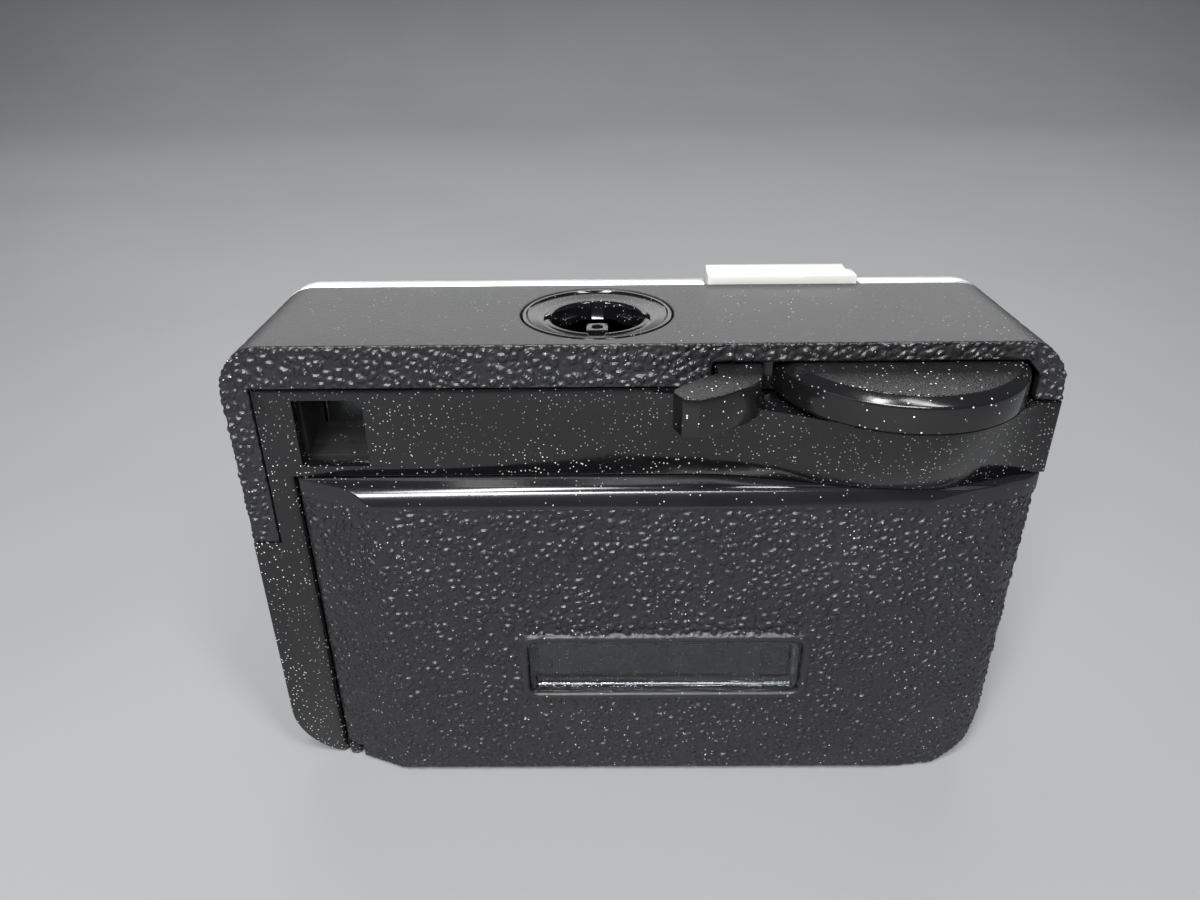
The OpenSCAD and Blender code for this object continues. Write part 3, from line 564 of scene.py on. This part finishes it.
def make_door_window():
    """The clear pane: a proud rounded rim round a field that lies lower."""
    low, high = (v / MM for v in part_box("door_window"))
    flange = 0.8
    corner = 1.2
    steps = 6
    bm = bmesh.new()

    def ring(inset, depth):
        """A rounded rectangle of the face's outline, inset and lowered, in millimetres."""
        radius = max(corner - inset, 0.3)
        edge = flange + inset + radius
        x0, x1, z0, z1 = low.x + edge, high.x - edge, low.z + edge, high.z - edge
        verts = []
        for cx, cz, start in ((x1, z1, 0), (x0, z1, 90), (x0, z0, 180), (x1, z0, 270)):
            for k in range(steps + 1):
                a = math.radians(start + k * 90 / steps)
                x = cx + radius * math.cos(a)
                z = cz + radius * math.sin(a)
                verts.append(bm.verts.new((x * MM, (high.y - depth) * MM, z * MM)))
        return verts

    # Inset and depth from the back of the flange, over the rim, to the field
    section = [(0, 1.7), (0, 0.25), (0.12, 0.06), (0.3, 0), (0.62, 0.02), (0.85, 0.16),
               (1.05, 0.55), (1.25, 0.62)]
    rings = [ring(inset, depth) for inset, depth in section]
    for a, b in zip(rings, rings[1:]):
        bridge(bm, b, a)
    bm.faces.new(rings[-1])
    bm.faces.new(rings[0][::-1])
    bmesh.ops.recalc_face_normals(bm, faces=bm.faces)
    place_skin(smoothed(bm, "door_window", 50), "door_window")


def make_flash_socket():
    """The turning ring: a shallow dish with a rounded lip, and four lugs in its bore."""
    low, high = (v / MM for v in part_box("flash_socket"))
    centre = (low + high) / 2
    top = high.z
    ring_height = 3.2

    bm = open_mesh("flash_socket")
    cut_level(bm, top - ring_height, keep_above=False)
    place_skin(smoothed(bm, "socket_base"), "flash_socket", "flash_socket_base")

    # Radius and depth below the top: outer wall, rim, dish, lip and bore
    section = [(10.2, ring_height), (10.2, 0.12), (10.1, 0.02), (9.9, 0), (9.72, 0.04),
               (9.6, 0.2), (9.45, 0.34), (9.2, 0.4), (8.2, 0.6), (7.5, 0.78),
               (7.3, 0.78), (7.16, 0.66), (6.98, 0.58), (6.75, 0.58), (6.52, 0.66),
               (6.38, 0.84), (6.32, 1.2), (6.3, ring_height)]
    lip_radius = 7.2
    notch_radius = 7.25
    notch_depth = 0.9
    bm = bmesh.new()
    count = 144
    rows = []
    for k in range(count):
        a = math.tau * k / count
        off_notch = abs((math.degrees(a) + 45) % 90 - 45)
        notch = 1 - fade(off_notch - 8.5, 1.5)
        row = []
        for r, down in section:
            if r < lip_radius and down < ring_height:
                r += (notch_radius - r) * notch
                down = max(down, notch_depth) if notch > 0.5 else down
            x = centre.x + r * math.cos(a)
            y = centre.y + r * math.sin(a)
            row.append(bm.verts.new((x * MM, y * MM, (top - down) * MM)))
        rows.append(row)
    for a, b in zip(rows, rows[1:] + rows[:1]):
        bridge(bm, a, b)
    bmesh.ops.recalc_face_normals(bm, faces=bm.faces)
    place_skin(smoothed(bm, "socket_ring", 40), "flash_socket", "flash_socket_ring")

    lug_size = Vector((1.5, 2.6, 1.2))
    lug_place = Vector((5.8, 0, top - 2.6))
    bm = bmesh.new()
    for k in range(4):
        turn = Matrix.Rotation(math.radians(45 + 90 * k), 4, "Z")
        turn = Matrix.Translation((centre.x * MM, centre.y * MM, 0)) @ turn
        block = bmesh.ops.create_cube(bm, size=1.0)["verts"]
        bmesh.ops.scale(bm, vec=lug_size * MM, verts=block)
        bmesh.ops.translate(bm, vec=lug_place * MM, verts=block)
        bmesh.ops.transform(bm, matrix=turn, verts=block)
    round_edges(bm, 0.25, 3)
    place_skin(smoothed(bm, "socket_lugs"), "flash_socket", "flash_socket_lugs")


MADE = {
    "finder_tube": make_finder_tube, "flash_socket": make_flash_socket,
    "door_window": make_door_window, "top_shell": make_top_shell,
    "back_door": make_back_door, "front_inlay": make_front_inlay,
}

for node, obj in NODES.items():
    if node in MADE:
        MADE[node]()
    elif node in ROUNDED:
        bm = open_mesh(node)
        round_edges(bm, ROUNDED[node])
        place_skin(smoothed(bm, node), node)
    else:
        dress(obj, SLOT_OF[node])

# ---------------------------------------------------------------- stage, light, camera


def make_floor():
    """A pale floor that sweeps up into a backdrop far behind the object."""
    bm = bmesh.new()
    far = -0.7
    bend = 0.35
    profile = [(1.2, 0.0), (far, 0.0)]
    profile += [(far - bend * math.sin(a), bend * (1 - math.cos(a)))
                for a in np.linspace(0, math.pi / 2, 13)[1:]]
    profile.append((far - bend, 1.6))
    rows = [[bm.verts.new((x, y, z)) for y, z in profile] for x in (-1.6, 1.6)]
    for i in range(len(profile) - 1):
        bm.faces.new((rows[0][i], rows[1][i], rows[1][i + 1], rows[0][i + 1])).smooth = True
    mesh = bpy.data.meshes.new("floor")
    bm.to_mesh(mesh)
    bm.free()
    floor = bpy.data.objects.new("floor", mesh)
    bpy.context.scene.collection.objects.link(floor)
    f = Finish("floor_paint", (0.235, 0.238, 0.243), 0.6)
    f.tint(f.span(f.noise(160, 3.0), 0.4, 0.7, 0.0, 0.5), (0.21, 0.213, 0.218))
    f.relief(f.noise(1.5, 3.0), 0.02)
    floor.data.materials.append(f.material)


def add_light(name, place, target, width, height, power):
    lamp = bpy.data.lights.new(name, "AREA")
    lamp.shape = "RECTANGLE"
    lamp.size, lamp.size_y = width, height
    lamp.energy = power
    obj = bpy.data.objects.new(name, lamp)
    bpy.context.scene.collection.objects.link(obj)
    obj.location = place
    obj.rotation_euler = (Vector(target) - Vector(place)).to_track_quat("-Z", "Y").to_euler()


def make_lights():
    aim = (0, 0, 0.04)
    add_light("overhead_a", (0.14, 0.3, 0.6), aim, 0.1, 0.42, 4.4)
    add_light("overhead_b", (-0.2, 0.26, 0.62), aim, 0.08, 0.4, 2.4)
    add_light("rear_key", (0.1, 0.6, 0.46), aim, 0.6, 0.07, 6.4)
    add_light("back_panel", (0.0, -0.75, 0.5), aim, 1.3, 0.5, 4.5)
    add_light("side_fill", (0.8, 0.5, 0.35), aim, 0.5, 0.5, 0.6)
    world = bpy.data.worlds.new("studio")
    world.use_nodes = True
    world.node_tree.nodes["Background"].inputs["Color"].default_value = (0.8, 0.85, 0.92, 1)
    world.node_tree.nodes["Background"].inputs["Strength"].default_value = 0.1
    bpy.context.scene.world = world


def make_camera():
    """The photograph's view: from behind and above, level to within a degree."""
    data = bpy.data.cameras.new("camera")
    data.lens = 26.4
    data.sensor_width = 36
    data.clip_start = 0.005
    data.clip_end = 20
    camera = bpy.data.objects.new("camera", data)
    bpy.context.scene.collection.objects.link(camera)
    forward = Vector((0.00819, -0.88502, -0.46546)).normalized()
    right = Vector((-0.99996, -0.00925, 0)).normalized()
    down = forward.cross(right)
    roll = math.radians(0.61)
    across = right * math.cos(roll) + down * math.sin(roll)
    up = right * math.sin(roll) - down * math.cos(roll)
    turn = Matrix((across, up, -forward)).transposed()
    camera.matrix_world = Matrix.Translation((0.00433, 0.11864, 0.10875)) @ turn.to_4x4()
    bpy.context.scene.camera = camera
    bpy.context.scene.view_settings.view_transform = "Standard"


make_floor()
make_lights()
make_camera()
